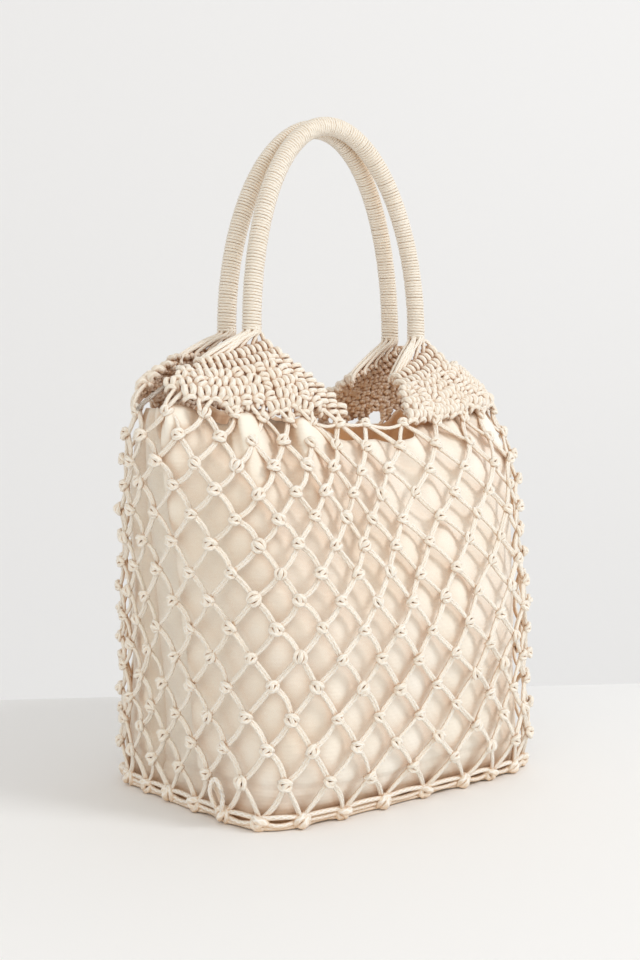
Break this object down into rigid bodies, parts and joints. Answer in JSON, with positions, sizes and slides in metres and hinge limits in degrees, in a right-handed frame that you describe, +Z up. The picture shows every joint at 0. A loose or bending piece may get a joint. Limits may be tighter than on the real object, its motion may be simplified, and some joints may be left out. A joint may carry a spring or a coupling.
{
  "type": "macrame tote bag",
  "caption": "Open-topped cotton tote: a canvas pouch inside a coarse knotted cord net, with dense knotted shoulders and two round cord-wrapped handles.",
  "frame": {"origin": "on the table under the middle of the bag's outline", "axes": "+Z up, front of the bag faces -Y, +X to the right"},
  "size_m": [0.4756, 0.3384, 0.665],
  "materials": {
    "canvas": "matt plain-woven natural cotton canvas, unbleached, soft folds",
    "cord": "matt natural cotton cord, softly braided, knotted",
    "handle_wrap": "matt natural cotton cord wound tightly side by side"
  },
  "bodies": {
    "root": {"liner": "canvas", "net": "cord", "base_rim": "cord", "shoulder_front_right": "cord", "shoulder_front_left": "cord", "shoulder_back_right": "cord", "shoulder_back_left": "cord", "fan_front_right": "cord", "fan_front_left": "cord", "fan_back_right": "cord", "fan_back_left": "cord", "handle_front": "handle_wrap", "handle_back": "handle_wrap"}
  },
  "joints": []
}
